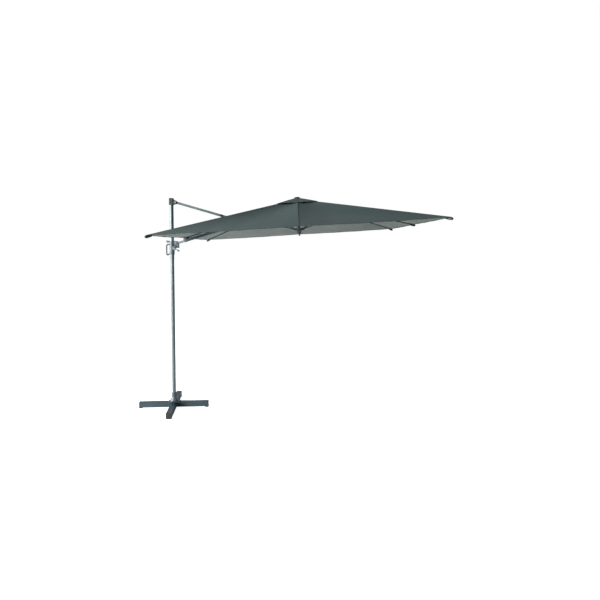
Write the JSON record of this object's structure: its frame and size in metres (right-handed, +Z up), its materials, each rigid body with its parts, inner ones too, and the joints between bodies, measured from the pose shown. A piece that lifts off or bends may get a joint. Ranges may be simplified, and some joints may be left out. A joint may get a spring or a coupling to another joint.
{
  "type": "cantilever parasol",
  "caption": "Side-post garden parasol: a cross base and turning mast carry a square cloth canopy on a folding arm, with a sliding carriage, crank and lock knob.",
  "frame": {"origin": "on the ground, at the mast's axis", "axes": "+X from the mast towards the canopy, +Z up the mast, +Y to the far side"},
  "size_m": [3.6208, 3.0212, 2.8293],
  "materials": {
    "base_steel": "satin",
    "black_plastic": "matte",
    "bright_bolt": "satin",
    "cover_plastic": "satin",
    "mast_silver": "satin",
    "collar_blue": "satin",
    "knob_grey": "satin",
    "cap_dark": "matte",
    "strut_grey": "satin",
    "arm_dark": "satin",
    "arm_silver": "satin",
    "carriage_grey": "satin",
    "liner_white": "matte",
    "hub_dark": "matte",
    "rib_dark": "satin",
    "stay_grey": "satin",
    "canopy_cloth": "matte"
  },
  "bodies": {
    "base": {"base_beam_long": "base_steel", "base_beam_cross": "base_steel", "beam_end_caps": "black_plastic", "base_plate": "base_steel", "base_bolts": "bright_bolt", "base_spigot": "bright_bolt", "foot_cover": "cover_plastic"},
    "pedal": {"pedal": "black_plastic"},
    "mast": {"mast_tube": "mast_silver", "mast_collar": "collar_blue", "mast_top_cap": "cap_dark", "strut_pin": "bright_bolt"},
    "strut": {"strut_eye": "cap_dark", "strut_tube": "strut_grey", "strut_plate": "strut_grey"},
    "arm": {"arm_tail": "arm_silver", "rib_bracket": "carriage_grey", "arm_tube": "arm_dark", "arm_head": "hub_dark", "saddle_bracket": "arm_dark", "saddle_pin": "bright_bolt"},
    "carriage": {"carriage_sleeve": "carriage_grey", "carriage_liners": "liner_white", "arm_bracket": "collar_blue", "arm_pin": "bright_bolt", "loop_handle": "black_plastic", "crank_housing": "carriage_grey"},
    "crank": {"crank": "arm_silver"},
    "crank_grip": {"crank_grip": "black_plastic"},
    "lock_knob": {"lock_knob": "knob_grey"},
    "hub": {"top_hub": "hub_dark", "hub_pins": "bright_bolt", "tilt_pin": "bright_bolt", "finial": "cap_dark"},
    "runner": {"runner": "hub_dark"},
    "rib_1": {"rib_1": "rib_dark", "canopy_panel_1": "canopy_cloth"},
    "stay_1": {"stay_1": "stay_grey"},
    "rib_2": {"rib_2": "rib_dark", "canopy_panel_2": "canopy_cloth"},
    "stay_2": {"stay_2": "stay_grey"},
    "rib_3": {"rib_3": "rib_dark", "canopy_panel_3": "canopy_cloth"},
    "stay_3": {"stay_3": "stay_grey"},
    "rib_4": {"rib_4": "rib_dark", "canopy_panel_4": "canopy_cloth"},
    "stay_4": {"stay_4": "stay_grey"},
    "rib_5": {"rib_5": "rib_dark", "canopy_panel_5": "canopy_cloth"},
    "stay_5": {"stay_5": "stay_grey"},
    "rib_6": {"rib_6": "rib_dark", "canopy_panel_6": "canopy_cloth"},
    "stay_6": {"stay_6": "stay_grey"},
    "rib_7": {"rib_7": "rib_dark", "canopy_panel_7": "canopy_cloth"},
    "stay_7": {"stay_7": "stay_grey"},
    "rib_8": {"rib_8": "rib_dark", "canopy_panel_8": "canopy_cloth"},
    "stay_8": {"stay_8": "stay_grey"}
  },
  "joints": [
    {"name": "mast_turn", "type": "hinge", "parent": "base", "child": "mast", "pos_m": [0, 0, 0.1], "axis": [0, 0, 1], "continuous": true},
    {"name": "pedal_press", "type": "hinge", "parent": "base", "child": "pedal", "pos_m": [0.01132, -0.09936, 0.104], "axis": [0.9936, 0.1132, 0], "range_deg": [0, 9], "stiffness_Nm_per_rad": 6, "springref_deg": -6.88},
    {"name": "strut_pivot", "type": "hinge", "parent": "mast", "child": "strut", "pos_m": [0.055, 0, 2.733], "axis": [0, 1, 0], "range_deg": [0, 63]},
    {"name": "arm_pivot", "type": "hinge", "parent": "strut", "child": "arm", "pos_m": [1.0216, 0, 2.474], "axis": [0, 1, 0], "range_deg": [-126, 0]},
    {"name": "carriage_pivot", "type": "hinge", "parent": "arm", "child": "carriage", "pos_m": [0.055, 0, 2.215], "axis": [0, 1, 0], "range_deg": [0, 63]},
    {"name": "hub_tilt", "type": "hinge", "parent": "arm", "child": "hub", "pos_m": [1.64991, 0, 2.72157], "axis": [0, 1, 0], "range_deg": [0, 67.35]},
    {"name": "crank_spin", "type": "hinge", "parent": "carriage", "child": "crank", "pos_m": [0.038, -0.05, 2.146], "axis": [0, -1, 0], "continuous": true},
    {"name": "grip_spin", "type": "hinge", "parent": "crank", "child": "crank_grip", "pos_m": [0.104, -0.085, 2.114], "axis": [0, -1, 0], "continuous": true},
    {"name": "lock_knob_turn", "type": "hinge", "parent": "carriage", "child": "lock_knob", "pos_m": [-0.05, 0, 2.229], "axis": [-1, 0, 0], "range_deg": [-180, 180]},
    {"name": "rib_1_fold", "type": "hinge", "parent": "hub", "child": "rib_1", "pos_m": [1.68049, 0, 2.78106], "axis": [0, 1, 0], "range_deg": [0, 67.35], "deforming": ["canopy_panel_1"]},
    {"name": "stay_1_fold", "type": "hinge", "parent": "rib_1", "child": "stay_1", "pos_m": [2.30658, 0, 2.64833], "axis": [0, 1, 0], "range_deg": [-134.7, 0]},
    {"name": "runner_fold", "type": "hinge", "parent": "stay_1", "child": "runner", "pos_m": [1.70777, 0, 2.42244], "axis": [0, 1, 0], "range_deg": [0, 67.35]},
    {"name": "rib_2_fold", "type": "hinge", "parent": "hub", "child": "rib_2", "pos_m": [1.66443, 0.03889, 2.77983], "axis": [-0.7051, 0.7071, -0.0536], "range_deg": [0, 70.75], "deforming": ["canopy_panel_2"]},
    {"name": "stay_2_fold", "type": "hinge", "parent": "rib_2", "child": "stay_2", "pos_m": [2.10679, 0.47268, 2.68353], "axis": [-0.7051, 0.7071, -0.0536], "range_deg": [-133.19, 0]},
    {"name": "rib_3_fold", "type": "hinge", "parent": "hub", "child": "rib_3", "pos_m": [1.62565, 0.055, 2.77689], "axis": [-0.9971, 0, -0.0758], "range_deg": [0, 67.35], "deforming": ["canopy_panel_3"]},
    {"name": "stay_3_fold", "type": "hinge", "parent": "rib_3", "child": "stay_3", "pos_m": [1.63929, 0.66922, 2.59758], "axis": [-0.9971, 0, -0.0758], "range_deg": [-134.7, 0]},
    {"name": "rib_4_fold", "type": "hinge", "parent": "hub", "child": "rib_4", "pos_m": [1.58687, 0.03889, 2.77394], "axis": [-0.7051, -0.7071, -0.0536], "range_deg": [0, 70.75], "deforming": ["canopy_panel_4"]},
    {"name": "stay_4_fold", "type": "hinge", "parent": "rib_4", "child": "stay_4", "pos_m": [1.16416, 0.47268, 2.61183], "axis": [-0.7051, -0.7071, -0.0536], "range_deg": [-133.19, 0]},
    {"name": "rib_5_fold", "type": "hinge", "parent": "hub", "child": "rib_5", "pos_m": [1.5708, 0, 2.77271], "axis": [0, -1, 0], "range_deg": [0, 67.35], "deforming": ["canopy_panel_5"]},
    {"name": "stay_5_fold", "type": "hinge", "parent": "rib_5", "child": "stay_5", "pos_m": [0.972, -0.021, 2.54682], "axis": [0, -1, 0], "range_deg": [-134.7, 0]},
    {"name": "rib_6_fold", "type": "hinge", "parent": "hub", "child": "rib_6", "pos_m": [1.58687, -0.03889, 2.77394], "axis": [0.7051, -0.7071, 0.0536], "range_deg": [0, 70.75], "deforming": ["canopy_panel_6"]},
    {"name": "stay_6_fold", "type": "hinge", "parent": "rib_6", "child": "stay_6", "pos_m": [1.16416, -0.47268, 2.61183], "axis": [0.7051, -0.7071, 0.0536], "range_deg": [-133.19, 0]},
    {"name": "rib_7_fold", "type": "hinge", "parent": "hub", "child": "rib_7", "pos_m": [1.62565, -0.055, 2.77689], "axis": [0.9971, 0, 0.0758], "range_deg": [0, 67.35], "deforming": ["canopy_panel_7"]},
    {"name": "stay_7_fold", "type": "hinge", "parent": "rib_7", "child": "stay_7", "pos_m": [1.63929, -0.66922, 2.59758], "axis": [0.9971, 0, 0.0758], "range_deg": [-134.7, 0]},
    {"name": "rib_8_fold", "type": "hinge", "parent": "hub", "child": "rib_8", "pos_m": [1.66443, -0.03889, 2.77983], "axis": [0.7051, 0.7071, 0.0536], "range_deg": [0, 70.75], "deforming": ["canopy_panel_8"]},
    {"name": "stay_8_fold", "type": "hinge", "parent": "rib_8", "child": "stay_8", "pos_m": [2.10679, -0.47268, 2.68353], "axis": [0.7051, 0.7071, 0.0536], "range_deg": [-133.19, 0]}
  ],
  "couplings": [
    {"joint": "arm_pivot", "follows": "strut_pivot", "ratio": -2},
    {"joint": "carriage_pivot", "follows": "strut_pivot", "ratio": 1},
    {"joint": "hub_tilt", "follows": "strut_pivot", "ratio": 1.069},
    {"joint": "rib_1_fold", "follows": "strut_pivot", "ratio": 1.069},
    {"joint": "stay_1_fold", "follows": "strut_pivot", "ratio": -2.1381},
    {"joint": "runner_fold", "follows": "strut_pivot", "ratio": 1.069},
    {"joint": "rib_2_fold", "follows": "strut_pivot", "ratio": 1.1231},
    {"joint": "stay_2_fold", "follows": "strut_pivot", "ratio": -2.1142},
    {"joint": "rib_3_fold", "follows": "strut_pivot", "ratio": 1.069},
    {"joint": "stay_3_fold", "follows": "strut_pivot", "ratio": -2.1381},
    {"joint": "rib_4_fold", "follows": "strut_pivot", "ratio": 1.1231},
    {"joint": "stay_4_fold", "follows": "strut_pivot", "ratio": -2.1142},
    {"joint": "rib_5_fold", "follows": "strut_pivot", "ratio": 1.069},
    {"joint": "stay_5_fold", "follows": "strut_pivot", "ratio": -2.1381},
    {"joint": "rib_6_fold", "follows": "strut_pivot", "ratio": 1.1231},
    {"joint": "stay_6_fold", "follows": "strut_pivot", "ratio": -2.1142},
    {"joint": "rib_7_fold", "follows": "strut_pivot", "ratio": 1.069},
    {"joint": "stay_7_fold", "follows": "strut_pivot", "ratio": -2.1381},
    {"joint": "rib_8_fold", "follows": "strut_pivot", "ratio": 1.1231},
    {"joint": "stay_8_fold", "follows": "strut_pivot", "ratio": -2.1142}
  ]
}
